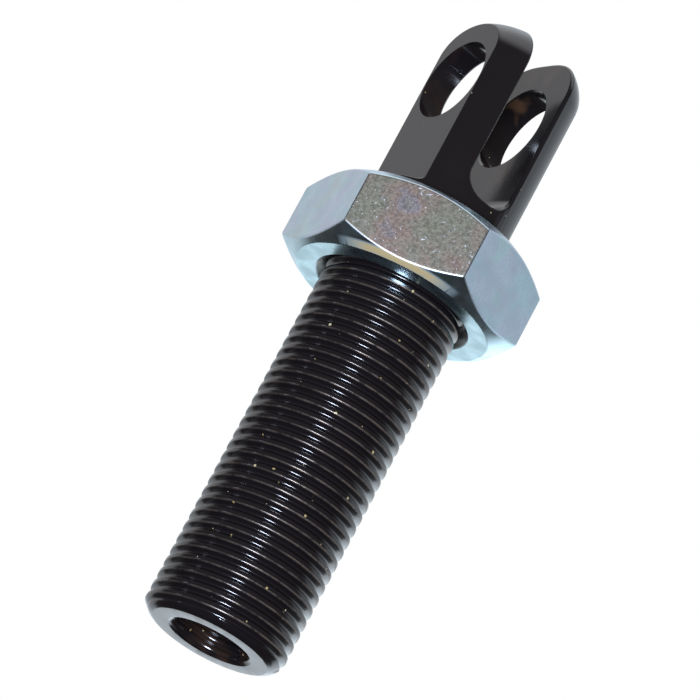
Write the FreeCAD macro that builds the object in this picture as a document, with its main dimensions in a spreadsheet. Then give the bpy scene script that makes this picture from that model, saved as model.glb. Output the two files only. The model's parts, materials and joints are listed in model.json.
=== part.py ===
"""A clevis rod end and its hexagon jam nut.

The rod end is one steel piece, turned and milled from a round bar. Its long shank has an
outer thread, and its free end is drilled and tapped for a rod. The other end is a fork: two
flats, a slot with a round floor between two ears, and a cross hole for the clevis pin. The
jam nut runs on the outer thread and stands close under the fork.

Z is the axis of the bar. The origin is the centre of the tapped end's flat ring, on which the
part stands, and the pin hole lies along X. Lengths are millimetres, angles are degrees.
"""
import FreeCAD, Part
import math
import os

import Sketcher

# Every size is written once, in this table, and becomes a cell of the sheet with the same name.
SIZES = (
    ("thread_diameter", 15.8, "outer thread over its crests, 5/8-18"),
    ("shank_length", 52.4, "from the ring at the tapped end to the shoulder under the flats"),
    ("collar_height", 1.2, "plain bar between the outer thread and the shoulder"),
    ("end_chamfer", 1.5, "chamfer round the tapped end, 45 degrees"),
    ("tap_drill", 8.6, "tapped hole at its thread's crests, 3/8-24"),
    ("tap_depth", 34.0, "depth of the drilled hole, without its point"),
    ("tap_sink", 0.5, "width of the countersink round the tapped hole, 45 degrees"),
    ("drill_point", 118.0, "angle of the drill's point"),
    ("fork_diameter", 15.88, "bar that the rod end is turned and milled from, 5/8 inch"),
    ("fork_flats", 12.3, "across the two outer flats of the ears"),
    ("shoulder_fillet", 0.5, "fillet between a flat and the shoulder"),
    ("slot_width", 5.75, "slot between the ears"),
    ("slot_floor_rise", 1.2, "from the shoulder up to the slot's floor"),
    ("slot_floor_flat", 0.8, "flat stretch between the round corners of the slot's floor"),
    ("pin_rise", 12.0, "from the slot's floor up to the axis of the pin hole"),
    ("pin_hole", 9.7, "hole for the clevis pin, 3/8 inch"),
    ("ear_end", 8.25, "from the axis of the pin hole to the end of the ears"),
    ("nose_radius", 4.8, "radius turned round the end of the bar"),
    ("slot_edge", 0.3, "rounding of the edges round the slot"),
    ("flat_edge", 0.2, "rounding of the edges round the flats and on the shoulder"),
    ("hole_edge", 0.2, "chamfer of the pin hole's rims inside the slot, 45 degrees"),
    ("nut_flats", 23.65, "jam nut across its flats, 15/16 inch"),
    ("nut_thickness", 9.4, "jam nut, 3/8 inch"),
    ("nut_lower_rim", 0.7, "from a flat's middle in to the lower bearing circle"),
    ("nut_upper_rim", 1.1, "from a flat's middle in to the upper bearing circle"),
    ("nut_chamfer", 33.0, "angle of the chamfers on the nut's corners"),
    ("nut_edge", 0.25, "rounding of the nut's six upright edges"),
    ("nut_clearance", 0.05, "running clearance all round the outer thread"),
    ("nut_sink", 1.0, "width of the countersink at each end of the nut's bore, 45 degrees"),
    ("nut_gap", 0.35, "from the nut's upper face to the end of the outer thread"),
    ("nut_turn", -5.5, "how far the nut is turned about the axis"),
    ("overrun", 1.0, "how far a cut runs past the metal"),
)

# Heights and radii that several features share, as sums of the sizes above.
THREAD_RADIUS = "Sizes.thread_diameter / 2"
THREAD_TOP = "(Sizes.shank_length - Sizes.collar_height)"
FORK_RADIUS = "Sizes.fork_diameter / 2"
FORK_FACE = "Sizes.fork_flats / 2"
SLOT_FACE = "Sizes.slot_width / 2"
SLOT_FLOOR = "(Sizes.shank_length + Sizes.slot_floor_rise)"
SLOT_CORNER = "(Sizes.slot_width - Sizes.slot_floor_flat) / 2"
PIN_HEIGHT = SLOT_FLOOR + " + Sizes.pin_rise"
TOP = "(" + PIN_HEIGHT + " + Sizes.ear_end)"
TAP_RADIUS = "Sizes.tap_drill / 2"
NUT_FACE = "Sizes.nut_flats / 2"
NUT_CORNER = "Sizes.nut_flats / (2 * cos(30))"
NUT_BORE = "(Sizes.thread_diameter / 2 + Sizes.nut_clearance)"
NUT_HEIGHT = THREAD_TOP + " - Sizes.nut_gap - Sizes.nut_thickness"

# Two faces that meet at less than this, in degrees, run smoothly into each other.
LEAST_ANGLE = 15

doc = FreeCAD.newDocument("ClevisRodEnd")


def make_sheet():
    """Put every size in the sheet: its name, its value and what it measures."""
    sheet = doc.addObject("Spreadsheet::Sheet", "Sizes")
    for row, (name, size, note) in enumerate(SIZES, start=1):
        sheet.set("A%d" % row, name)
        sheet.set("B%d" % row, str(size))
        sheet.set("C%d" % row, note)
        sheet.setAlias("B%d" % row, name)
    doc.recompute()


def new_body(name):
    """Start a body whose label is the name of its node."""
    body = doc.addObject("PartDesign::Body", name)
    body.Label = name
    return body


def new_sketch(body, name, plane):
    """Lay a sketch on one of the body's own origin planes."""
    sketch = body.newObject("Sketcher::SketchObject", name)
    support = next(item for item in body.Origin.OriginFeatures if item.Role == plane)
    sketch.AttachmentSupport = [(support, "")]
    sketch.MapMode = "FlatFace"
    return sketch


def bind(sketch, constraint, expression):
    """Add a dimension and tie it to the sheet."""
    index = sketch.addConstraint(constraint)
    sketch.setExpression("Constraints[%d]" % index, expression)


def place(sketch, edge, end, across, up):
    """Hold one end of an edge at the place that two expressions give."""
    point = sketch.getPoint(edge, end)
    if across == "0":
        sketch.addConstraint(Sketcher.Constraint("PointOnObject", edge, end, -2))
    else:
        bind(sketch, Sketcher.Constraint("DistanceX", -1, 1, edge, end, point.x), across)
    if up == "0":
        sketch.addConstraint(Sketcher.Constraint("PointOnObject", edge, end, -1))
    else:
        bind(sketch, Sketcher.Constraint("DistanceY", -1, 1, edge, end, point.y), up)


def draw_outline(sketch, corners):
    """Draw a closed outline through corners, each a pair of expressions.

    A corner with a second pair starts an arc about that centre. Every other edge is straight.
    """
    def point(across, up):
        return FreeCAD.Vector(sketch.evalExpression(across), sketch.evalExpression(up), 0)

    edges = []
    for here, following in zip(corners, corners[1:] + corners[:1]):
        start = point(*here[:2])
        finish = point(*following[:2])
        if len(here) == 2:
            edges.append((sketch.addGeometry(Part.LineSegment(start, finish), False), 1, 2))
            continue
        centre = point(*here[2:])
        arms = (start - centre, finish - centre)
        forward = arms[0].cross(arms[1]).z > 0
        angles = [math.atan2(arm.y, arm.x) for arm in (arms if forward else arms[::-1])]
        circle = Part.Circle(centre, FreeCAD.Vector(0, 0, 1), arms[0].Length)
        edge = sketch.addGeometry(Part.ArcOfCircle(circle, *angles), False)
        edges.append((edge, 1, 2) if forward else (edge, 2, 1))

    for (edge, _, end), (next_edge, next_start, _) in zip(edges, edges[1:] + edges[:1]):
        sketch.addConstraint(Sketcher.Constraint("Coincident", edge, end, next_edge, next_start))
    for (edge, start, _), corner in zip(edges, corners):
        place(sketch, edge, start, *corner[:2])
        if len(corner) == 4:
            centre_x = sketch.getPoint(edge, 3).x
            bind(sketch, Sketcher.Constraint("DistanceX", -1, 1, edge, 3, centre_x), corner[2])


def revolve(body, kind, name, sketch):
    """Turn a sketch about the Z axis, to add metal or to cut it away."""
    feature = body.newObject("PartDesign::" + kind, name)
    feature.Profile = sketch
    feature.ReferenceAxis = (sketch, ["V_Axis"])
    feature.Angle = 360
    sketch.Visibility = False
    return feature


def cut_through(body, name, sketch):
    """Cut a sketch through the whole body, to both sides of its plane."""
    feature = body.newObject("PartDesign::Pocket", name)
    feature.Profile = sketch
    feature.SideType = "Symmetric"
    feature.Type = "ThroughAll"
    sketch.Visibility = False
    return feature


def sharp_edges(shape, wanted):
    """Names of the edges that are wanted and at which two faces meet at an angle."""
    names = []
    for number, edge in enumerate(shape.Edges, start=1):
        faces = shape.ancestorsOfType(edge, Part.Face)
        if len(faces) != 2 or not wanted(edge):
            continue
        middle = edge.valueAt((edge.FirstParameter + edge.LastParameter) / 2)
        normals = [face.normalAt(*face.Surface.parameter(middle)) for face in faces]
        if math.degrees(normals[0].getAngle(normals[1])) > LEAST_ANGLE:
            names.append("Edge%d" % number)
    return names


def break_edges(body, kind, name, wanted, size):
    """Fillet or chamfer the wanted sharp edges of what the body is so far."""
    doc.recompute()
    base = body.Tip
    feature = body.newObject("PartDesign::" + kind, name)
    feature.Base = (base, sharp_edges(base.Shape, wanted))
    feature.setExpression("Radius" if kind == "Fillet" else "Size", "Sizes." + size)


def make_clevis_body():
    """The rod end: turned blank, tapped hole, two flats, slot and cross hole."""
    body = new_body("clevis_body")

    shank = new_sketch(body, "ShankProfile", "XZ_Plane")
    draw_outline(shank, [
        ("0", "0"),
        (THREAD_RADIUS + " - Sizes.end_chamfer", "0"),
        (THREAD_RADIUS, "Sizes.end_chamfer"),
        (THREAD_RADIUS, THREAD_TOP),
        ("0", THREAD_TOP),
    ])
    revolve(body, "Revolution", "Shank", shank)

    blank = new_sketch(body, "ForkBlankProfile", "XZ_Plane")
    draw_outline(blank, [
        ("0", THREAD_TOP),
        (FORK_RADIUS, THREAD_TOP),
        (FORK_RADIUS, TOP + " - Sizes.nose_radius",
         FORK_RADIUS + " - Sizes.nose_radius", TOP + " - Sizes.nose_radius"),
        (FORK_RADIUS + " - Sizes.nose_radius", TOP),
        ("0", TOP),
    ])
    revolve(body, "Revolution", "ForkBlank", blank)

    bore = new_sketch(body, "TappedHoleProfile", "XZ_Plane")
    draw_outline(bore, [
        ("0", "0"),
        (TAP_RADIUS + " + Sizes.tap_sink", "0"),
        (TAP_RADIUS, "Sizes.tap_sink"),
        (TAP_RADIUS, "Sizes.tap_depth"),
        ("0", "Sizes.tap_depth + " + TAP_RADIUS + " / tan(Sizes.drill_point / 2)"),
    ])
    revolve(body, "Groove", "TappedHole", bore)

    flat = new_sketch(body, "FlatProfile", "XZ_Plane")
    draw_outline(flat, [
        (FORK_FACE + " + Sizes.shoulder_fillet", "Sizes.shank_length"),
        (FORK_RADIUS + " + Sizes.overrun", "Sizes.shank_length"),
        (FORK_RADIUS + " + Sizes.overrun", TOP + " + Sizes.overrun"),
        (FORK_FACE, TOP + " + Sizes.overrun"),
        (FORK_FACE, "Sizes.shank_length + Sizes.shoulder_fillet",
         FORK_FACE + " + Sizes.shoulder_fillet", "Sizes.shank_length + Sizes.shoulder_fillet"),
    ])
    flat_cut = cut_through(body, "Flat", flat)
    mirrored = body.newObject("PartDesign::Mirrored", "OtherFlat")
    mirrored.Originals = [flat_cut]
    mirrored.MirrorPlane = (flat, ["V_Axis"])
    body.Tip = mirrored

    slot = new_sketch(body, "SlotProfile", "XZ_Plane")
    corner_height = SLOT_FLOOR + " + " + SLOT_CORNER
    floor_edge = "Sizes.slot_floor_flat / 2"
    draw_outline(slot, [
        ("-" + SLOT_FACE, TOP + " + Sizes.overrun"),
        ("-" + SLOT_FACE, corner_height, "-" + floor_edge, corner_height),
        ("-" + floor_edge, SLOT_FLOOR),
        (floor_edge, SLOT_FLOOR, floor_edge, corner_height),
        (SLOT_FACE, corner_height),
        (SLOT_FACE, TOP + " + Sizes.overrun"),
    ])
    cut_through(body, "Slot", slot)

    shoulder = slot.evalExpression("Sizes.shank_length")
    slot_side = slot.evalExpression(SLOT_FACE)
    near = slot.evalExpression("Sizes.overrun") / 1000

    def beside_slot(edge):
        return edge.BoundBox.ZMax > shoulder + near and abs(edge.CenterOfMass.x) < slot_side + near

    def beside_flat(edge):
        return edge.BoundBox.ZMax > shoulder - near and abs(edge.CenterOfMass.x) > slot_side + near

    break_edges(body, "Fillet", "SlotEdges", beside_slot, "slot_edge")
    break_edges(body, "Fillet", "FlatEdges", beside_flat, "flat_edge")

    pin = new_sketch(body, "PinHoleProfile", "YZ_Plane")
    centre = FreeCAD.Vector(0, pin.evalExpression(PIN_HEIGHT), 0)
    radius = pin.evalExpression("Sizes.pin_hole / 2")
    ring = pin.addGeometry(Part.Circle(centre, FreeCAD.Vector(0, 0, 1), radius), False)
    bind(pin, Sketcher.Constraint("Radius", ring, radius), "Sizes.pin_hole / 2")
    place(pin, ring, 3, "0", PIN_HEIGHT)
    cut_through(body, "PinHole", pin)

    def hole_rim(edge):
        box = edge.BoundBox
        return box.XLength < near and abs(abs(box.XMin) - slot_side) < near and edge.isClosed()

    break_edges(body, "Chamfer", "HoleRims", hole_rim, "hole_edge")
    return body


def make_jam_nut():
    """The jam nut: a hexagon with both ends chamfered, bored and countersunk."""
    body = new_body("jam_nut")

    hexagon = new_sketch(body, "Hexagon", "XY_Plane")
    half_side = "Sizes.nut_flats / 2 * tan(30)"
    draw_outline(hexagon, [
        (NUT_FACE, "-" + half_side),
        (NUT_FACE, half_side),
        ("0", NUT_CORNER),
        ("-" + NUT_FACE, half_side),
        ("-" + NUT_FACE, "-" + half_side),
        ("0", "-" + NUT_CORNER),
    ])
    prism = body.newObject("PartDesign::Pad", "Prism")
    prism.Profile = hexagon
    prism.setExpression("Length", "Sizes.nut_thickness")
    hexagon.Visibility = False
    break_edges(body, "Fillet", "UprightEdges", lambda edge: edge.BoundBox.ZLength > 1, "nut_edge")

    reach = NUT_CORNER + " + Sizes.overrun"
    for name, rim, end, inward in (("Lower", "nut_lower_rim", "0", ""),
                                   ("Upper", "nut_upper_rim", "Sizes.nut_thickness", "-")):
        circle = NUT_FACE + " - Sizes." + rim
        drop = "(" + reach + " - (" + circle + ")) * tan(Sizes.nut_chamfer)"
        chamfer = new_sketch(body, name + "ChamferProfile", "XZ_Plane")
        draw_outline(chamfer, [
            (circle, end),
            (reach, end),
            (reach, end + " + " + inward + drop),
        ])
        revolve(body, "Groove", name + "Chamfer", chamfer)

    bore = new_sketch(body, "NutBoreProfile", "XZ_Plane")
    draw_outline(bore, [
        ("0", "0"),
        (NUT_BORE + " + Sizes.nut_sink", "0"),
        (NUT_BORE, "Sizes.nut_sink"),
        (NUT_BORE, "Sizes.nut_thickness - Sizes.nut_sink"),
        (NUT_BORE + " + Sizes.nut_sink", "Sizes.nut_thickness"),
        ("0", "Sizes.nut_thickness"),
    ])
    revolve(body, "Groove", "NutBore", bore)

    body.setExpression("Placement.Base.z", NUT_HEIGHT)
    body.Placement.Rotation = FreeCAD.Rotation(FreeCAD.Vector(0, 0, 1), 1)
    body.setExpression("Placement.Rotation.Angle", "Sizes.nut_turn")
    return body


def check(bodies):
    """Stop with a plain message if a feature failed or a solid isn't sound."""
    failed = [item.Label for item in doc.Objects
              if "Invalid" in item.State or "Error" in item.State]
    if failed:
        raise SystemExit("These features failed: " + ", ".join(failed))
    for body in bodies:
        if body.Shape.isNull() or not body.Shape.isValid() or len(body.Shape.Solids) != 1:
            raise SystemExit(body.Label + " isn't one sound solid")


make_sheet()
pieces = [make_clevis_body(), make_jam_nut()]
doc.recompute()
check(pieces)
os.makedirs("parts", exist_ok=True)
for piece in pieces:
    piece.Shape.exportStep("parts/" + piece.Label + ".step")
    box = piece.Shape.BoundBox
    print("%s: %.1f mm3, z %.2f to %.2f" % (piece.Label, piece.Shape.Volume, box.ZMin, box.ZMax))
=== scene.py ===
"""The looks of a clevis rod end with its jam nut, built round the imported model."""
import json
import math

import bmesh
import bpy
from mathutils import Matrix, Vector


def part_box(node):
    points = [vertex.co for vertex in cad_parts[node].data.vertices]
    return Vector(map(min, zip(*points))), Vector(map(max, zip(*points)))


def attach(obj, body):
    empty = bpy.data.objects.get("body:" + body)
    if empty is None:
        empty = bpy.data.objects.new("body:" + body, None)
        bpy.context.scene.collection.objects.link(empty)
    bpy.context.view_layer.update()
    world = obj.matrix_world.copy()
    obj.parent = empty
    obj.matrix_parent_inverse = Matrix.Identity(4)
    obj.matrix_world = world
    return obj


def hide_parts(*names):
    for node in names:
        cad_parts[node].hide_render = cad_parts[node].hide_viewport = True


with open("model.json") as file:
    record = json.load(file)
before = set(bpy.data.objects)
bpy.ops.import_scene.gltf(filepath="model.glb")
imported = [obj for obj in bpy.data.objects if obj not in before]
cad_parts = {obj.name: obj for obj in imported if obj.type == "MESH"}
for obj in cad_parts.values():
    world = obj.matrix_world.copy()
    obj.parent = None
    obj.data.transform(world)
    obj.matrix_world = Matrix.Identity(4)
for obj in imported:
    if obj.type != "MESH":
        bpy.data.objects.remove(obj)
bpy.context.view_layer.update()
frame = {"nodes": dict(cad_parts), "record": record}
MM = 0.001


# Black e-coat, a thin epoxy paint on machined steel: a glossy, nearly black film with a slight
# orange peel. It is rubbed to brownish steel along the crests of the outer thread, nicked at the
# free end and dotted with straw-coloured dust, and in the holes it has patches of painted brown
# reflection.
def linear(colour):
    """An sRGB hex colour as the linear colour that a socket takes."""
    parts = [int(colour[start:start + 2], 16) / 255 for start in (1, 3, 5)]
    return [part / 12.92 if part < 0.04 else ((part + 0.055) / 1.055) ** 2.4
            for part in parts] + [1.0]


def add(tree, kind, inputs=None, **settings):
    """Add a node with its settings. An input is a value, a socket or a node's first output."""
    node = tree.nodes.new(kind)
    for name, setting in settings.items():
        setattr(node, name, setting)
    for socket, source in (inputs or {}).items():
        if isinstance(source, bpy.types.Node):
            source = source.outputs[0]
        if isinstance(source, bpy.types.NodeSocket):
            tree.links.new(source, node.inputs[socket])
        else:
            node.inputs[socket].default_value = source
    return node


def mount(name):
    """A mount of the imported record."""
    return next(item for item in frame["record"]["mounts"] if item["name"] == name)


SHANK_RADIUS = mount("shank_thread")["dims"]["r_mm"] * MM
SHANK_TOP = 51.2 * MM
SHANK_PITCH = 25.4 * MM / 18
CREST_FLAT = 0.46 * MM
# Where in a turn the crest starts: 9 of a turn's 24 rows, so that the mesh follows its edges.
CREST_START = 9 / 24
HOLE_REACH = 4.85 * MM
NICK = Vector((6.72, -3.60, 0.65)) * MM

black_coat = bpy.data.materials.new("black_e_coat")
black_coat.use_nodes = True
tree = black_coat.node_tree
coat = tree.nodes["Principled BSDF"]
where = add(tree, "ShaderNodeTexCoord").outputs["Object"]
split = add(tree, "ShaderNodeSeparateXYZ", {0: where}).outputs
level = add(tree, "ShaderNodeCombineXYZ", {"X": split["X"], "Y": split["Y"]})
reach = add(tree, "ShaderNodeVectorMath", {0: level}, operation="LENGTH").outputs["Value"]

# Rubbed lines on the crests' edges, found by how far round the helix a point lies.
angle = add(tree, "ShaderNodeMath", {0: split["Y"], 1: split["X"]}, operation="ARCTAN2")
turns = add(tree, "ShaderNodeMath", {0: split["Z"], 1: 1 / SHANK_PITCH}, operation="MULTIPLY")
phase = add(tree, "ShaderNodeMath", {0: angle, 1: -0.5 / math.pi, 2: turns},
            operation="MULTIPLY_ADD")
phase = add(tree, "ShaderNodeMath", {
    0: phase, 1: 0.5 * CREST_FLAT / SHANK_PITCH - CREST_START}, operation="ADD")
off_edge = add(tree, "ShaderNodeMath", {0: phase, 1: 0.5}, operation="PINGPONG")
crest = add(tree, "ShaderNodeMapRange", {
    "Value": off_edge, "From Min": 0.08, "From Max": 0.015})
proud = add(tree, "ShaderNodeMath", {0: reach, 1: SHANK_RADIUS - 0.15 * MM},
            operation="GREATER_THAN")
on_shank = add(tree, "ShaderNodeMath", {0: split["Z"], 1: SHANK_TOP - 1.0 * MM},
               operation="LESS_THAN")
on_shank = add(tree, "ShaderNodeMath", {0: on_shank, 1: proud}, operation="MULTIPLY")
patches = add(tree, "ShaderNodeTexNoise", {
    "Vector": where, "Scale": 1 / (1.4 * MM), "Detail": 4.0, "Roughness": 0.7})
patches = add(tree, "ShaderNodeMapRange", {
    "Value": patches, "From Min": 0.38, "From Max": 0.68, "To Min": 0.12, "To Max": 1.15})
worn = add(tree, "ShaderNodeMath", {0: crest, 1: on_shank}, operation="MULTIPLY")
worn = add(tree, "ShaderNodeMath", {0: worn, 1: patches}, operation="MULTIPLY")
# The rubbed lines are made fainter toward -X.
fainter_toward_minus_x = add(tree, "ShaderNodeMapRange", {
    "Value": split["X"], "From Min": -6.5 * MM, "From Max": -4.0 * MM, "To Min": 0.35})
worn = add(tree, "ShaderNodeMath", {0: worn, 1: fainter_toward_minus_x}, operation="MULTIPLY")

# Dust in specks of up to 0.35 mm, at most one to each 1.15 mm, and larger on the thread.
dust = add(tree, "ShaderNodeTexVoronoi", {"Vector": where, "Scale": 1 / (1.15 * MM)})
dust_size = add(tree, "ShaderNodeSeparateColor", {0: dust.outputs["Color"]}).outputs
dust_reach = add(tree, "ShaderNodeMapRange", {
    "Value": dust_size["Red"], "From Min": 0.40, "From Max": 1.0, "To Min": 0.0, "To Max": 0.09})
settled = add(tree, "ShaderNodeMath", {0: on_shank, 1: 0.7, 2: 1.0}, operation="MULTIPLY_ADD")
dust_reach = add(tree, "ShaderNodeMath", {0: dust_reach, 1: settled}, operation="MULTIPLY")
speck = add(tree, "ShaderNodeMath", {0: dust.outputs["Distance"], 1: dust_reach},
            operation="LESS_THAN")
speck_tint = add(tree, "ShaderNodeMix", {
    0: dust_size["Green"], "A": linear("#8A7648"), "B": linear("#B0A484")}, data_type="RGBA")

# Brown patches in the holes are a painted reflection of warm surroundings, most in one ear, and
# all round the nick the steel shows brown.
from_pin = add(tree, "ShaderNodeVectorMath", {0: where, 1: mount("pin_bore")["pos_m"]},
               operation="SUBTRACT")
from_pin = add(tree, "ShaderNodeVectorMath", {0: from_pin, 1: (0, 1, 1)}, operation="MULTIPLY")
from_pin = add(tree, "ShaderNodeVectorMath", {0: from_pin}, operation="LENGTH").outputs["Value"]
in_pin_hole = add(tree, "ShaderNodeMath", {
    0: from_pin, 1: mount("pin_bore")["dims"]["r_mm"] * MM + 0.05 * MM}, operation="LESS_THAN")
in_tapped_hole = add(tree, "ShaderNodeMath", {0: reach, 1: HOLE_REACH}, operation="LESS_THAN")
inside = add(tree, "ShaderNodeMath", {0: in_tapped_hole, 1: 0.3}, operation="MULTIPLY")
inside = add(tree, "ShaderNodeMath", {0: in_pin_hole, 1: inside}, operation="MAXIMUM")
brown_hole_reflection = add(tree, "ShaderNodeTexNoise", {"Vector": where, "Scale": 1 / (3.6 * MM), "Detail": 2.0})
brown_hole_reflection = add(tree, "ShaderNodeMapRange", {"Value": brown_hole_reflection, "From Min": 0.52, "From Max": 0.64})
brown_hole_reflection = add(tree, "ShaderNodeMath", {0: brown_hole_reflection, 1: inside}, operation="MULTIPLY")
far_ear = add(tree, "ShaderNodeMapRange", {
    "Value": split["X"], "From Min": -3 * MM, "From Max": 3 * MM, "To Min": 0.12})
brown_hole_reflection = add(tree, "ShaderNodeMath", {0: brown_hole_reflection, 1: far_ear}, operation="MULTIPLY")
from_nick = add(tree, "ShaderNodeVectorMath", {0: where, 1: NICK}, operation="DISTANCE")
nick = add(tree, "ShaderNodeMapRange", {
    "Value": from_nick.outputs["Value"], "From Min": 0.75 * MM, "From Max": 0.45 * MM})
# The brown goes where the painted reflection lies in the holes and round the real nick.
blend_amount = add(tree, "ShaderNodeMath", {0: brown_hole_reflection, 1: nick}, operation="MAXIMUM")

paint = add(tree, "ShaderNodeMix", {
    0: blend_amount, "A": linear("#131011"), "B": linear("#443022")}, data_type="RGBA")
paint = add(tree, "ShaderNodeMix", {
    0: worn, "A": paint.outputs["Result"], "B": linear("#6E6257")}, data_type="RGBA")
paint = add(tree, "ShaderNodeMix", {
    0: speck, "A": paint.outputs["Result"], "B": speck_tint.outputs["Result"]},
    data_type="RGBA")
tree.links.new(paint.outputs["Result"], coat.inputs["Base Color"])

steel = add(tree, "ShaderNodeMath", {0: worn, 1: 0.7}, operation="MULTIPLY")
tree.links.new(steel.outputs[0], coat.inputs["Metallic"])
haze = add(tree, "ShaderNodeTexNoise", {"Vector": where, "Scale": 1 / (4.0 * MM), "Detail": 4.0})
gloss = add(tree, "ShaderNodeMapRange", {
    "Value": haze, "From Min": 0.3, "From Max": 0.7, "To Min": 0.10, "To Max": 0.17})
dull = add(tree, "ShaderNodeMath", {0: worn, 1: nick}, operation="MAXIMUM")
gloss = add(tree, "ShaderNodeMix", {"Factor": dull, 2: gloss, 3: 0.40})
tree.links.new(gloss.outputs[0], coat.inputs["Roughness"])

# Orange peel with waves of 0.8 mm, the size at which such a film sets.
peel = add(tree, "ShaderNodeTexNoise", {"Vector": where, "Scale": 1 / (0.8 * MM), "Detail": 1.5})
peel = add(tree, "ShaderNodeBump", {"Height": peel, "Strength": 1.0, "Distance": 0.003 * MM})
tree.links.new(peel.outputs[0], coat.inputs["Normal"])


# Outer thread of the shank. A right-hand 5/8-18 thread rolled into the turned bar, so its
# crests are rounded and its flanks are smooth. It starts in the chamfer of the free end and
# runs out into the plain collar under the fork.
THREAD_INPUTS = {
    "Pitch": "Float", "Low": "Float", "High": "Float", "Side": "Float", "Crest": "Float",
    "Crest Flat": "Float", "Depth": "Float", "Low Mouth": "Float", "Low Lip": "Float",
    "High Mouth": "Float", "Run-out": "Float", "Start": "Float", "Columns": "Int",
    "Rows": "Int", "Material": "Material",
}
# The thread's surface, step by step: a name, an operation, and what it is worked out from.
# A turn is counted from where the crest starts, and a hole's crest is half a turn further on.
THREAD_STEPS = (
    ("below", "DIVIDE", "Low", "Pitch"),
    ("below", "FLOOR", "below"),
    ("first", "SUBTRACT", "below", 1.0),
    ("above", "DIVIDE", "High", "Pitch"),
    ("above", "CEIL", "above"),
    ("turns", "SUBTRACT", "above", "first"),
    ("row count", "MULTIPLY_ADD", "turns", "Rows", 1.0),
    ("column count", "ADD", "Columns", 1.0),
    ("round", "ADD", "X", 0.5),
    ("turn", "ADD", "Y", 0.5),
    ("turn", "MULTIPLY_ADD", "turn", "turns", "first"),
    ("height", "ADD", "turn", "round"),
    ("height", "MULTIPLY", "height", "Pitch"),
    ("height", "MINIMUM", "height", "High"),
    ("height", "MAXIMUM", "height", "Low"),
    ("from low", "SUBTRACT", "height", "Low"),
    ("from high", "SUBTRACT", "High", "height"),
    ("phase", "SUBTRACT", "turn", "Start"),
    ("phase", "MULTIPLY_ADD", "Side", 0.25, "phase"),
    ("phase", "SUBTRACT", "phase", 0.25),
    ("off crest", "PINGPONG", "phase", 0.5),
    ("off crest", "MULTIPLY", "off crest", "Pitch"),
    ("off flat", "MULTIPLY_ADD", "Crest Flat", -0.5, "off crest"),
    ("reach", "MULTIPLY_ADD", "off flat", -math.sqrt(3), "Crest"),
    ("reach", "SMOOTH_MIN", "reach", "Crest", 0.08 * MM),
    ("root", "SUBTRACT", "Crest", "Depth"),
    ("reach", "SMOOTH_MAX", "reach", "root", 0.30 * MM),
    ("run-out", "DIVIDE", "from high", "Run-out"),
    ("run-out", "MULTIPLY", "run-out", "Depth"),
    ("run-out", "SUBTRACT", "Crest", "run-out"),
    ("reach", "MAXIMUM", "reach", "run-out"),
    ("lip", "SUBTRACT", "Low Lip", "from low"),
    ("lip", "MAXIMUM", "lip", 0.0),
    ("lip", "POWER", "lip", 2.0),
    ("lip", "DIVIDE", "lip", "Low Lip"),
    ("low mouth", "ADD", "Low Mouth", "from low"),
    ("low mouth", "SUBTRACT", "low mouth", "lip"),
    ("reach", "MINIMUM", "reach", "low mouth"),
    ("high mouth", "ADD", "High Mouth", "from high"),
    ("reach", "MINIMUM", "reach", "high mouth"),
    ("radius", "MULTIPLY", "reach", "Side"),
    ("angle", "MULTIPLY", "round", 2 * math.pi),
    ("across", "COSINE", "angle"),
    ("across", "MULTIPLY", "across", "radius"),
    ("along", "SINE", "angle"),
    ("along", "MULTIPLY", "along", "radius"),
)


def thread_tree():
    """A screw thread between two heights, as a grid whose rows follow the helix.

    Radii count from the metal's side: Side is 1 for a bolt and -1 for a hole, and a hole's
    radii are given as negative numbers. A mouth is the radius at which a 45 degree chamfer or
    countersink meets the end, and the low lip rounds that corner off.
    """
    tree = bpy.data.node_groups.new("thread", "GeometryNodeTree")
    for name, kind in THREAD_INPUTS.items():
        tree.interface.new_socket(name, in_out="INPUT", socket_type="NodeSocket" + kind)
    tree.interface.new_socket("Mesh", in_out="OUTPUT", socket_type="NodeSocketGeometry")
    given = add(tree, "NodeGroupInput").outputs
    known = {name: given[name] for name in THREAD_INPUTS}
    place = add(tree, "GeometryNodeInputPosition")
    place = add(tree, "ShaderNodeSeparateXYZ", {0: place}).outputs
    known.update(X=place["X"], Y=place["Y"])
    for name, operation, *values in THREAD_STEPS:
        inputs = {index: known.get(value, value) for index, value in enumerate(values)}
        known[name] = add(tree, "ShaderNodeMath", inputs, operation=operation)

    grid = add(tree, "GeometryNodeMeshGrid", {
        "Vertices X": known["column count"], "Vertices Y": known["row count"]})
    point = add(tree, "ShaderNodeCombineXYZ", {
        "X": known["across"], "Y": known["along"], "Z": known["height"]})
    moved = add(tree, "GeometryNodeSetPosition", {"Geometry": grid, "Position": point})
    welded = add(tree, "GeometryNodeMergeByDistance", {0: moved, "Distance": 0.001 * MM})
    real = add(tree, "GeometryNodeRealizeInstances", {0: welded})
    painted = add(tree, "GeometryNodeSetMaterial", {0: real, "Material": known["Material"]})
    add(tree, "NodeGroupOutput", {0: painted})
    return tree


THREAD = thread_tree()


def cut_thread(**sizes):
    """A plain mesh of one thread. Each named size goes to the tree's input of that name."""
    holder = bpy.data.objects.new("thread", bpy.data.meshes.new("thread"))
    bpy.context.scene.collection.objects.link(holder)
    modifier = holder.modifiers.new("thread", "NODES")
    modifier.node_group = THREAD
    for item in THREAD.interface.items_tree:
        if item.in_out == "INPUT":
            size = item.name.lower().replace(" ", "_").replace("-", "_")
            modifier[item.identifier] = sizes[size]
    graph = bpy.context.evaluated_depsgraph_get()
    mesh = bpy.data.meshes.new_from_object(holder.evaluated_get(graph), depsgraph=graph)
    bpy.data.objects.remove(holder)
    return mesh


SHANK_DEPTH = 0.60 * MM
END_CHAMFER = 1.05 * MM
END_LIP = 0.35 * MM

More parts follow.
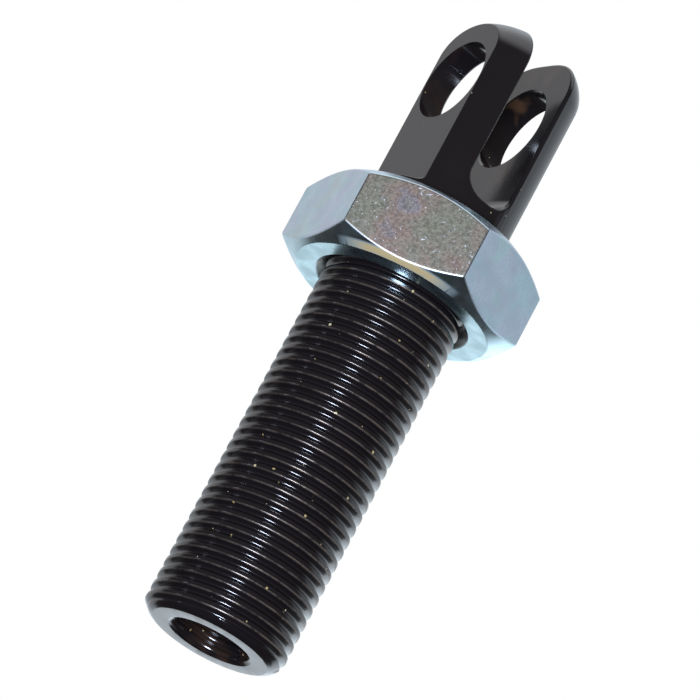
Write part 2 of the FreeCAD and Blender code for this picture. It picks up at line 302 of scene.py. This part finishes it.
shank_mesh = cut_thread(
    pitch=SHANK_PITCH, low=0.0, high=SHANK_TOP, side=1.0,
    crest=SHANK_RADIUS, crest_flat=CREST_FLAT, depth=SHANK_DEPTH,
    low_mouth=SHANK_RADIUS - END_CHAMFER, low_lip=END_LIP, high_mouth=SHANK_RADIUS,
    run_out=0.9 * MM, start=CREST_START,
    columns=72, rows=24, material=black_coat)

# Tapped hole in the free end: drilled, countersunk and tapped 3/8-24, and coated inside too.
# The thread stops short of the drill's point, as a tap leaves it.
TAP = mount("tapped_hole")
TAP_RADIUS = TAP["dims"]["r_mm"] * MM
TAP_SINK = 0.25 * MM
TAP_LIP = 0.25 * MM
TAP_THREADED = 25.0 * MM
TAP_END = TAP["pos_m"][2] + TAP["dims"]["length_mm"] / 2 * MM
DRILL_POINT = math.radians(118)

tap_mesh = cut_thread(
    pitch=25.4 * MM / 24, low=0.0, high=TAP_THREADED, side=-1.0,
    crest=-TAP_RADIUS, crest_flat=0.39 * MM, depth=0.4625 * MM,
    low_mouth=-TAP_RADIUS - TAP_SINK, low_lip=TAP_LIP, high_mouth=-TAP_RADIUS,
    run_out=1.0 * MM, start=0.0,
    columns=64, rows=10, material=black_coat)


# The rod end in one piece: the fork and collar as the model has them, joined to the threads.
# The real one is milled from the same bar, so nothing parts the fork from the shank.
def rim(bm, height, radius):
    """The open edges at one height and radius."""
    def near(vertex):
        reach = math.hypot(vertex.co.x, vertex.co.y)
        return abs(vertex.co.z - height) < 0.02 * MM and abs(reach - radius) < 0.02 * MM

    return [edge for edge in bm.edges if edge.is_boundary and all(map(near, edge.verts))]


def stitch(bm, *rims):
    """Close the ring between two rims, each a height and a radius, with triangles."""
    loops = []
    for height, radius in rims:
        points = {vertex for edge in rim(bm, height, radius) for vertex in edge.verts}
        angles = sorted((math.atan2(point.co.y, point.co.x), point.index) for point in points)
        bm.verts.ensure_lookup_table()
        loop = [(angle, bm.verts[index]) for angle, index in angles]
        loops.append(loop + [(loop[0][0] + 2 * math.pi, loop[0][1])])
    inner, outer = loops
    here, there = 0, 0
    while here < len(inner) - 1 or there < len(outer) - 1:
        if there == len(outer) - 1 or (here < len(inner) - 1
                                       and inner[here + 1][0] < outer[there + 1][0]):
            bm.faces.new((inner[here][1], inner[here + 1][1], outer[there][1]))
            here += 1
        else:
            bm.faces.new((inner[here][1], outer[there + 1][1], outer[there][1]))
            there += 1


def finish_piece(bm, name, material, node, body):
    """Make a bmesh the finished piece that stands for a CAD node."""
    bmesh.ops.recalc_face_normals(bm, faces=bm.faces)
    for face in bm.faces:
        face.smooth = True
        face.material_index = 0
    for edge in bm.edges:
        edge.smooth = edge.calc_face_angle(0.0) < math.radians(40)
    mesh = bpy.data.meshes.new(name)
    bm.to_mesh(mesh)
    bm.free()
    mesh.materials.clear()
    mesh.materials.append(material)
    piece = bpy.data.objects.new(name, mesh)
    bpy.context.scene.collection.objects.link(piece)
    weighted = piece.modifiers.new("weighted", "WEIGHTED_NORMAL")
    weighted.keep_sharp = True
    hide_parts(node)
    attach(piece, body)


fork = bmesh.new()
fork.from_mesh(frame["nodes"]["clevis_body"].data)
bmesh.ops.remove_doubles(fork, verts=fork.verts, dist=0.0001 * MM)
bmesh.ops.dissolve_limit(fork, angle_limit=math.radians(0.05), verts=fork.verts,
                         edges=fork.edges)
FORK_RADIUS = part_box("clevis_body")[1].y
# Cut just above the thread's end, so that the joint is a crisp step and not a blurred edge.
FORK_CUT = SHANK_TOP + 0.03 * MM
geometry = fork.verts[:] + fork.edges[:] + fork.faces[:]
bmesh.ops.bisect_plane(fork, geom=geometry, plane_co=(0, 0, FORK_CUT), plane_no=(0, 0, 1),
                       clear_inner=True)
fork.from_mesh(shank_mesh)
fork.from_mesh(tap_mesh)
fork.verts.index_update()
stitch(fork, (SHANK_TOP, SHANK_RADIUS), (FORK_CUT, FORK_RADIUS))
stitch(fork, (0.0, TAP_RADIUS + TAP_SINK + TAP_LIP), (0.0, SHANK_RADIUS - END_CHAMFER - END_LIP))

hole_rim = rim(fork, TAP_THREADED, TAP_RADIUS)
wall = bmesh.ops.extrude_edge_only(fork, edges=hole_rim)["geom"]
wall_top = [item for item in wall if isinstance(item, bmesh.types.BMVert)]
bmesh.ops.translate(fork, verts=wall_top, vec=(0, 0, TAP_END - TAP_THREADED))
point = bmesh.ops.extrude_edge_only(fork, edges=rim(fork, TAP_END, TAP_RADIUS))["geom"]
point = [item for item in point if isinstance(item, bmesh.types.BMVert)]
tip = Vector((0, 0, TAP_END + TAP_RADIUS / math.tan(DRILL_POINT / 2)))
bmesh.ops.pointmerge(fork, verts=point, merge_co=tip)
finish_piece(fork, "rod_end", black_coat, "clevis_body", "rod_end")

# Jam nut: hexagon steel nut, chamfered, tapped and countersunk, then zinc plated and passivated
# clear, which leaves a bluish film with patches of lilac. The face toward the camera is rubbed
# dull and has a painted warm tint, a painted reflection for the film's hue seen head-on, with
# painted glints on its scratches. Faces turned down have a painted lighter, bluer sheen, the rim
# under that face a painted golden reflection, and the countersinks painted shade.
NUT_TURN = math.radians(-5.5)
CAMERA_FACE_TURN = NUT_TURN - math.radians(120)
CAMERA_FACE = Vector((math.cos(CAMERA_FACE_TURN), math.sin(CAMERA_FACE_TURN), 0))
MOUTH_REACH = 8.95 * MM
GOLDEN_RIM_REACH = 12.15 * MM

zinc = bpy.data.materials.new("clear_blue_zinc_plate")
zinc.use_nodes = True
tree = zinc.node_tree
plate = tree.nodes["Principled BSDF"]
where = add(tree, "ShaderNodeTexCoord").outputs["Object"]
film = add(tree, "ShaderNodeTexNoise", {"Vector": where, "Scale": 1 / (5.0 * MM), "Detail": 3.0})
cool = add(tree, "ShaderNodeValToRGB", {"Fac": film})
stops = cool.color_ramp.elements
stops[0].position, stops[0].color = 0.32, linear("#A6C3CB")
stops[1].position, stops[1].color = 0.70, linear("#B2C2C8")
for position, colour in ((0.45, "#AEC3D0"), (0.55, "#B4BFD0"), (0.62, "#ADC5CE")):
    stops.new(position).color = linear(colour)
# Painted reflection: this warm ramp on the face toward the camera stands in for the film's hue
# seen head-on.
warm = add(tree, "ShaderNodeValToRGB", {"Fac": film})
stops = warm.color_ramp.elements
stops[0].position, stops[0].color = 0.32, linear("#848372")
stops[1].position, stops[1].color = 0.70, linear("#8C8880")
for position, colour in ((0.45, "#898578"), (0.55, "#928175"), (0.62, "#8A8485")):
    stops.new(position).color = linear(colour)
facing = add(tree, "ShaderNodeNewGeometry").outputs["Normal"]
to_camera_face = add(tree, "ShaderNodeVectorMath", {0: facing, 1: CAMERA_FACE}, operation="DOT_PRODUCT")
on_camera_face = add(tree, "ShaderNodeMapRange", {
    "Value": to_camera_face.outputs["Value"], "From Min": 0.80, "From Max": 0.97})
tint = add(tree, "ShaderNodeMix", {
    0: on_camera_face, "A": cool.outputs[0], "B": warm.outputs[0]}, data_type="RGBA")
# Painted highlights: pale flecks on that face stand in for glints on its scratches.
scratch_glints = add(tree, "ShaderNodeTexNoise", {
    "Vector": where, "Scale": 1 / (0.9 * MM), "Detail": 1.0, "Distortion": 4.0})
scratch_glints = add(tree, "ShaderNodeMapRange", {
    "Value": scratch_glints, "From Min": 0.68, "From Max": 0.74})
scratch_glints = add(tree, "ShaderNodeMath", {0: scratch_glints, 1: on_camera_face}, operation="MULTIPLY")
tint = add(tree, "ShaderNodeMix", {
    0: scratch_glints, "A": tint.outputs["Result"], "B": linear("#D6DCE2")}, data_type="RGBA")
facing = add(tree, "ShaderNodeSeparateXYZ", {0: facing}).outputs["Z"]
# Painted sheen: faces turned down are painted lighter and bluer.
underside_sheen = add(tree, "ShaderNodeMapRange", {"Value": facing, "From Min": -0.6, "From Max": -0.95})
tint = add(tree, "ShaderNodeMix", {
    0: underside_sheen, "A": tint.outputs["Result"], "B": linear("#BCDAE2")}, data_type="RGBA")
from_axis = add(tree, "ShaderNodeVectorMath", {0: where, 1: (1, 1, 0)}, operation="MULTIPLY")
from_axis = add(tree, "ShaderNodeVectorMath", {0: from_axis}, operation="LENGTH")
# Painted shade: the countersinks are painted dark.
mouth_shade = add(tree, "ShaderNodeMapRange", {
    "Value": from_axis.outputs["Value"], "From Min": MOUTH_REACH,
    "From Max": MOUTH_REACH - 0.2 * MM})
# Painted reflection: a golden band on the rim under the face toward the camera.
on_rim = add(tree, "ShaderNodeMapRange", {
    "Value": from_axis.outputs["Value"], "From Min": GOLDEN_RIM_REACH,
    "From Max": GOLDEN_RIM_REACH - 0.3 * MM})
golden_reflection = add(tree, "ShaderNodeMapRange", {
    "Value": to_camera_face.outputs["Value"], "From Min": 0.44, "From Max": 0.52})
golden_reflection = add(tree, "ShaderNodeMath", {0: golden_reflection, 1: on_rim}, operation="MULTIPLY")
below = add(tree, "ShaderNodeMapRange", {"Value": facing, "From Min": -0.45, "From Max": -0.65})
golden_reflection = add(tree, "ShaderNodeMath", {0: golden_reflection, 1: below}, operation="MULTIPLY")
tint = add(tree, "ShaderNodeMix", {
    0: golden_reflection, "A": tint.outputs["Result"], "B": linear("#B2A076")}, data_type="RGBA")
tint = add(tree, "ShaderNodeMix", {
    0: mouth_shade, "A": tint.outputs["Result"], "B": linear("#3C4240")}, data_type="RGBA")
tree.links.new(tint.outputs["Result"], plate.inputs["Base Color"])
# Less metal where the golden reflection is painted.
blend_amount = add(tree, "ShaderNodeMath", {0: golden_reflection, 1: -0.75, 2: 1.0}, operation="MULTIPLY_ADD")
tree.links.new(blend_amount.outputs[0], plate.inputs["Metallic"])

patches = add(tree, "ShaderNodeTexNoise", {"Vector": where, "Scale": 1 / (2.2 * MM)})
# The grain of the plated bar, drawn at 0.35 mm, coarser than it is, so that it shows.
mottle = add(tree, "ShaderNodeTexNoise", {
    "Vector": where, "Scale": 1 / (0.35 * MM), "Detail": 4.0, "Roughness": 0.7})
satin = add(tree, "ShaderNodeMapRange", {
    "Value": patches, "From Min": 0.35, "From Max": 0.65, "To Min": 0.24, "To Max": 0.34})
rubbed = add(tree, "ShaderNodeMapRange", {
    "Value": mottle, "From Min": 0.40, "From Max": 0.60, "To Min": 0.40, "To Max": 0.54})
satin = add(tree, "ShaderNodeMix", {"Factor": on_camera_face, 2: satin, 3: rubbed})
tree.links.new(satin.outputs[0], plate.inputs["Roughness"])
upright = add(tree, "ShaderNodeMath", {0: facing}, operation="ABSOLUTE")
upright = add(tree, "ShaderNodeMapRange", {
    "Value": upright, "From Min": 0.5, "From Max": 0.1, "To Min": 0.15, "To Max": 1.0})
mill = add(tree, "ShaderNodeMath", {0: mottle, 1: upright}, operation="MULTIPLY")
mill = add(tree, "ShaderNodeBump", {"Height": mill, "Strength": 1.0, "Distance": 0.018 * MM})
tree.links.new(mill.outputs[0], plate.inputs["Normal"])

nut_low, nut_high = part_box("jam_nut")
NUT_THICKNESS = nut_high.z - nut_low.z
NUT_FACE = 23.65 * MM / 2
NUT_LOWER_RIM = NUT_FACE - 0.7 * MM
NUT_UPPER_RIM = NUT_FACE - 1.1 * MM
NUT_SLOPE = math.tan(math.radians(33))
NUT_CREST = 7.38 * MM
NUT_ROOT = SHANK_RADIUS + 0.05 * MM
NUT_MOUTH = NUT_ROOT + 1.0 * MM
MOUTH_EDGE = 0.04 * MM
UPRIGHT_ROUND = 0.25 * MM
SIXTH = math.radians(60)
# The corners between the side faces are rounded too, in a few steps each.
FACE_STEPS = 28
CORNER_STEPS = 6

corner_centre = (NUT_FACE - UPRIGHT_ROUND) / math.cos(SIXTH / 2)
face_end = math.atan((NUT_FACE - UPRIGHT_ROUND) * math.tan(SIXTH / 2) / NUT_FACE)


def nut_reach(turn):
    """How far the hexagon's side is from the axis, at an angle from the middle of a face."""
    if turn <= face_end:
        return NUT_FACE / math.cos(turn)
    turn = SIXTH / 2 - turn
    return (corner_centre * math.cos(turn)
            + math.sqrt(UPRIGHT_ROUND ** 2 - (corner_centre * math.sin(turn)) ** 2))


def nut_profile(side):
    """The nut's outline from mouth to mouth where its side is so far from the axis."""
    corners = [Vector(corner) for corner in (
        (NUT_MOUTH, 0),
        (NUT_LOWER_RIM, 0),
        (side, (side - NUT_LOWER_RIM) * NUT_SLOPE),
        (side, NUT_THICKNESS - (side - NUT_UPPER_RIM) * NUT_SLOPE),
        (NUT_UPPER_RIM, NUT_THICKNESS),
        (NUT_MOUTH, NUT_THICKNESS))]
    profile = [corners[0]]
    for before, corner, after, round_size in zip(corners, corners[1:], corners[2:],
                                                 (0.12 * MM, 0.22 * MM, 0.22 * MM, 0.15 * MM)):
        start = corner + (before - corner).normalized() * round_size
        end = corner + (after - corner).normalized() * round_size
        for share in (0.0, 0.25, 0.5, 0.75, 1.0):
            profile.append(start.lerp(corner, share).lerp(corner.lerp(end, share), share))
    return profile + [corners[-1]]


turns = [face_end * (2 * step / FACE_STEPS - 1) for step in range(FACE_STEPS + 1)]
turns += [face_end + (SIXTH - 2 * face_end) * step / CORNER_STEPS
          for step in range(1, CORNER_STEPS)]
nut = bmesh.new()
columns = []
for face in range(6):
    for turn in turns:
        profile = nut_profile(nut_reach(min(abs(turn), SIXTH - turn)))
        angle = NUT_TURN + face * SIXTH + turn
        columns.append([nut.verts.new((spot.x * math.cos(angle), spot.x * math.sin(angle),
                                       nut_low.z + spot.y)) for spot in profile])
for column, following in zip(columns, columns[1:] + columns[:1]):
    for low, high, next_low, next_high in zip(column, column[1:], following, following[1:]):
        nut.faces.new((low, next_low, next_high, high))

# The nut's thread goes right through, so its run-out is next to nothing.
nut.from_mesh(cut_thread(
    pitch=SHANK_PITCH, low=nut_low.z, high=nut_high.z, side=-1.0,
    crest=-NUT_CREST, crest_flat=0.28 * MM, depth=NUT_ROOT - NUT_CREST,
    low_mouth=-NUT_MOUTH + MOUTH_EDGE, low_lip=0.0, high_mouth=-NUT_MOUTH + MOUTH_EDGE,
    run_out=1e-6, start=CREST_START, columns=72, rows=16, material=zinc))
nut.verts.index_update()
for height in (nut_low.z, nut_high.z):
    stitch(nut, (height, NUT_MOUTH), (height, NUT_MOUTH - MOUTH_EDGE))
finish_piece(nut, "nut", zinc, "jam_nut", "nut")

# Camera of the photograph: half a metre off, in front, to the left and below, and rolled.
# The shift only brings the part to its place in the photograph's frame.
LOOK_AT = Vector((0, 0, 34.2 * MM))
CAMERA_TURN = math.radians(28.25)
CAMERA_DROP = math.radians(18.98)
CAMERA_REACH = 519.1 * MM
SENSOR = 36
PICTURE = 700
PIXEL = 0.1036 * MM
UP_IN_IMAGE = Vector((0.47269, 0.88124))
MISS = Vector((10.14, -10.69))

back = Vector((-math.sin(CAMERA_TURN) * math.cos(CAMERA_DROP),
               -math.cos(CAMERA_TURN) * math.cos(CAMERA_DROP),
               -math.sin(CAMERA_DROP)))
side = Vector((math.cos(CAMERA_TURN), -math.sin(CAMERA_TURN), 0))
rise = back.cross(side)
right = UP_IN_IMAGE.x * rise + UP_IN_IMAGE.y * side
up = UP_IN_IMAGE.y * rise - UP_IN_IMAGE.x * side

camera_data = bpy.data.cameras.new("camera")
camera_data.sensor_width = SENSOR
camera_data.lens = SENSOR * CAMERA_REACH / (PICTURE * PIXEL)
camera_data.clip_end = 10
camera_data.shift_x = -MISS.x / PICTURE
camera_data.shift_y = -MISS.y / PICTURE
camera = bpy.data.objects.new("camera", camera_data)
bpy.context.scene.collection.objects.link(camera)
turn = Matrix((right, up, back)).transposed().to_4x4()
camera.matrix_world = Matrix.Translation(LOOK_AT + back * CAMERA_REACH) @ turn
bpy.context.scene.camera = camera

# White surroundings, which the camera sees everywhere. What the gloss and the metal mirror is a
# white wall behind the part, bluish to the right, a pale patch overhead and else a dim room.
world = bpy.data.worlds.new("studio")
bpy.context.scene.world = world
world.use_nodes = True
tree = world.node_tree
glow = tree.nodes["Background"]
toward = add(tree, "ShaderNodeTexCoord").outputs["Generated"]
behind = add(tree, "ShaderNodeVectorMath", {0: toward, 1: (0.35, 0.94, 0.0)},
             operation="DOT_PRODUCT")
behind = add(tree, "ShaderNodeMapRange", {
    "Value": behind.outputs["Value"], "From Min": -0.20, "From Max": 0.15},
    interpolation_type="SMOOTHSTEP")
toward = add(tree, "ShaderNodeSeparateXYZ", {0: toward}).outputs
# Soft borders in the room: a name, an axis, where it is 0 and where it is 1.
border = {}
for name, axis, none, full in (
        ("above floor", "Z", -0.44, -0.335), ("low", "Z", 0.30, -0.10),
        ("under ceiling", "Z", 0.87, 0.77), ("overhead", "Z", 0.70, 0.92),
        ("level", "Z", -0.80, 0.10), ("hindmost", "Y", -0.60, 0.80),
        ("rightward", "X", 0.15, 0.60), ("not far left", "X", -0.68, -0.50),
        ("not far right", "X", 0.42, 0.25), ("bluish", "X", -0.15, 0.25)):
    border[name] = add(tree, "ShaderNodeMapRange", {
        "Value": toward[axis], "From Min": none, "From Max": full},
        interpolation_type="SMOOTHSTEP")
side_wall = add(tree, "ShaderNodeMath", {
    0: border["rightward"], 1: border["hindmost"]}, operation="MULTIPLY")
side_wall = add(tree, "ShaderNodeMath", {0: side_wall, 1: border["low"]}, operation="MULTIPLY")
wall = add(tree, "ShaderNodeMath", {0: behind, 1: 0.85}, operation="MULTIPLY")
wall = add(tree, "ShaderNodeMath", {0: side_wall, 1: 1.25, 2: wall}, operation="MULTIPLY_ADD")
for name in ("above floor", "not far left", "under ceiling"):
    wall = add(tree, "ShaderNodeMath", {0: wall, 1: border[name]}, operation="MULTIPLY")
overhead = add(tree, "ShaderNodeMath", {
    0: border["overhead"], 1: border["not far right"]}, operation="MULTIPLY")
wall = add(tree, "ShaderNodeMath", {0: overhead, 1: 1.8, 2: wall}, operation="MULTIPLY_ADD")
paint = add(tree, "ShaderNodeMix", {
    0: border["bluish"], "A": linear("#EEF1F6"), "B": linear("#E3F0FA")}, data_type="RGBA")
room = add(tree, "ShaderNodeVectorMath", {0: paint.outputs["Result"], "Scale": wall},
           operation="SCALE")
dimness = add(tree, "ShaderNodeMath", {
    0: border["level"], 1: 0.7, 2: 0.3}, operation="MULTIPLY_ADD")
dim = add(tree, "ShaderNodeVectorMath", {
    0: linear("#625B56")[:3], "Scale": dimness}, operation="SCALE")
room = add(tree, "ShaderNodeVectorMath", {0: room, 1: dim}, operation="ADD")
rays = add(tree, "ShaderNodeLightPath").outputs
seen = add(tree, "ShaderNodeMath", {0: rays["Is Camera Ray"], 1: rays["Is Transmission Ray"]},
           operation="MAXIMUM")
room = add(tree, "ShaderNodeMix", {
    0: seen, "A": room.outputs[0], "B": linear("#FFFFFF")}, data_type="RGBA")
tree.links.new(room.outputs["Result"], glow.inputs["Color"])


# Two soft bluish lamps: one just left of the camera, whose glints run down the thread, and a
# weak one far to the left.
def hang_lamp(name, direction, reach, width, watts, colour):
    """An area lamp in a direction from the middle of the part, turned to face it."""
    lamp = bpy.data.lights.new(name, "AREA")
    lamp.shape = "DISK"
    lamp.size = width
    lamp.energy = watts
    lamp.color = linear(colour)[:3]
    holder = bpy.data.objects.new(name, lamp)
    bpy.context.scene.collection.objects.link(holder)
    away = Vector(direction).normalized()
    holder.rotation_euler = away.to_track_quat("Z", "Y").to_euler()
    holder.location = LOOK_AT + away * reach


hang_lamp("flash", direction=(-0.512, -0.795, -0.325), reach=0.60, width=0.18, watts=8.2,
          colour="#DCE8FF")
hang_lamp("window", direction=(-0.914, 0.234, 0.10), reach=0.80, width=0.10, watts=0.2,
          colour="#DCE8FF")

# Pale floor that the part stands on. It can be seen only from above and it takes the part's
# shadow, but it keeps no light from the end that the photograph looks at from below.
paper = bpy.data.materials.new("pale_paper")
paper.use_nodes = True
tree = paper.node_tree
sheet = tree.nodes["Principled BSDF"]
sheet.inputs["Base Color"].default_value = linear("#E8E8E6")
sheet.inputs["Roughness"].default_value = 0.9
side_seen = add(tree, "ShaderNodeNewGeometry").outputs["Backfacing"]
clear = add(tree, "ShaderNodeBsdfTransparent")
either = add(tree, "ShaderNodeMixShader", {0: side_seen, 1: sheet, 2: clear})
tree.links.new(either.outputs[0], tree.nodes["Material Output"].inputs["Surface"])

floor_mesh = bpy.data.meshes.new("floor")
floor = bmesh.new()
bmesh.ops.create_circle(floor, cap_ends=True, segments=96, radius=1.5)
bmesh.ops.translate(floor, verts=floor.verts, vec=(0, 0, -0.05 * MM))
floor.to_mesh(floor_mesh)
floor.free()
floor_mesh.materials.append(paper)
floor_piece = bpy.data.objects.new("floor", floor_mesh)
bpy.context.scene.collection.objects.link(floor_piece)
floor_piece.visible_shadow = False
floor_piece.visible_glossy = False
floor_piece.visible_diffuse = False
floor_piece.visible_transmission = False

bpy.context.scene.view_settings.view_transform = "Standard"


def corners(box):
    """A box as plain lists of numbers."""
    return [list(map(float, corner)) for corner in box]
